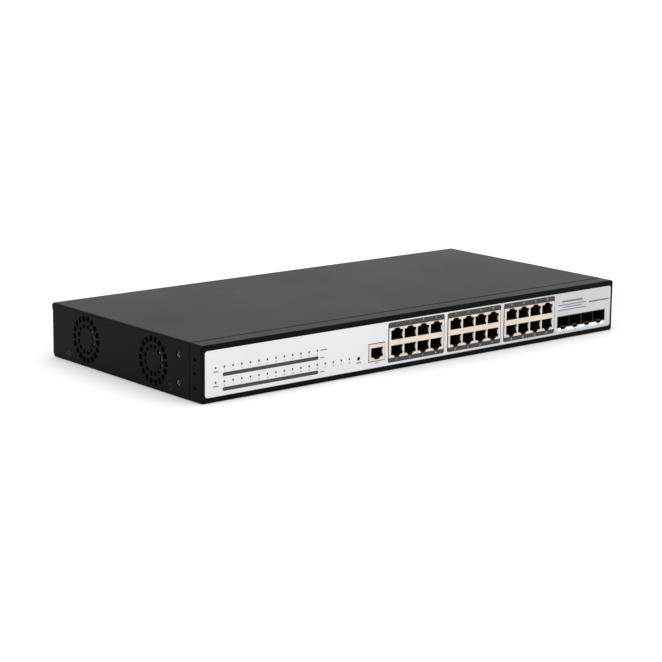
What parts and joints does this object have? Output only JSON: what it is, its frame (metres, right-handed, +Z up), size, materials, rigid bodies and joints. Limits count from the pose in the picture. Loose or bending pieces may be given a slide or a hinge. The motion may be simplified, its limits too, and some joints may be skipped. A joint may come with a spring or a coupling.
{
  "type": "rackmount network switch",
  "caption": "Rackmount network switch: sheet-metal case with side fans, rows of copper ports, an uplink cage, a console jack, indicator lights and a mains inlet.",
  "frame": {"origin": "middle of the footprint, on the surface the case stands on", "axes": "+Z up, the port face looks along -Y, the fans are in the -X side"},
  "size_m": [0.44, 0.204, 0.044],
  "materials": {
    "case_coat": "satin powder coat",
    "panel_film": "satin printed film",
    "tin_plate": "tin plated, fine grain",
    "bright_steel": "nickel plated",
    "dark_steel": "black zinc",
    "jack_plastic": "moulded",
    "gold_contact": "gold flash",
    "circuit_board": "solder mask",
    "chip_epoxy": "moulded",
    "sink_metal": "extruded",
    "fan_plastic": "moulded",
    "ferrite": "sintered",
    "winding_tape": "wrapped tape",
    "can_sleeve": "shrink sleeve",
    "lead_red": "extruded sleeve",
    "lead_black": "extruded sleeve",
    "light_pipe": "clear moulded",
    "clear_film": "fibre sheet",
    "button_plastic": "moulded",
    "copper_coil": "enamelled wire"
  },
  "bodies": {
    "chassis": {"base_pan": "case_coat", "board_capacitors": "can_sleeve", "board_headers": "clear_film", "board_screws": "bright_steel", "board_spacers": "bright_steel", "console_contacts": "gold_contact", "console_housing": "jack_plastic", "console_shield": "tin_plate", "converter_coils": "ferrite", "countersunk_screws": "dark_steel", "earth_screw": "bright_steel", "fan_leads_black": "lead_black", "fan_leads_red": "lead_red", "fan_screws": "bright_steel", "fan_stators": "copper_coil", "front_bezel": "case_coat", "front_fan_frame": "fan_plastic", "front_overlay": "panel_film", "inlet_housing": "jack_plastic", "inlet_leads": "lead_black", "inlet_pins": "bright_steel", "insulation_sheet": "clear_film", "left_port_contacts": "gold_contact", "left_port_housing": "jack_plastic", "left_port_shield": "tin_plate", "light_board": "circuit_board", "light_emitters": "light_pipe", "light_guides": "light_pipe", "line_chips": "chip_epoxy", "line_heat_sinks": "sink_metal", "main_board": "circuit_board", "memory_chips": "chip_epoxy", "middle_port_contacts": "gold_contact", "middle_port_housing": "jack_plastic", "middle_port_shield": "tin_plate", "output_leads": "lead_red", "port_transformers": "chip_epoxy", "power_board": "circuit_board", "power_capacitors": "can_sleeve", "power_heat_sinks": "sink_metal", "power_port_chips": "chip_epoxy", "power_transistors": "chip_epoxy", "rack_ear_nuts": "bright_steel", "rear_fan_frame": "fan_plastic", "reset_switch": "jack_plastic", "right_port_contacts": "gold_contact", "right_port_housing": "jack_plastic", "right_port_shield": "tin_plate", "switch_chip": "chip_epoxy", "switch_heat_sink": "sink_metal", "top_cover": "case_coat", "transformer_core": "ferrite", "transformer_winding": "winding_tape", "uplink_cage": "bright_steel", "uplink_latches": "gold_contact", "uplink_sockets": "jack_plastic"},
    "front_fan_rotor": {"front_fan_rotor": "fan_plastic"},
    "rear_fan_rotor": {"rear_fan_rotor": "fan_plastic"},
    "reset_button": {"reset_button": "button_plastic"}
  },
  "joints": [
    {"name": "front_fan_spin", "type": "hinge", "parent": "chassis", "child": "front_fan_rotor", "pos_m": [-0.2079, -0.04, 0.0222], "axis": [1, 0, 0], "continuous": true},
    {"name": "rear_fan_spin", "type": "hinge", "parent": "chassis", "child": "rear_fan_rotor", "pos_m": [-0.2079, 0.052, 0.0222], "axis": [1, 0, 0], "continuous": true},
    {"name": "reset_press", "type": "slide", "parent": "chassis", "child": "reset_button", "axis": [0, 1, 0], "range_m": [0, 0.0005], "stiffness_N_per_m": 3000}
  ]
}
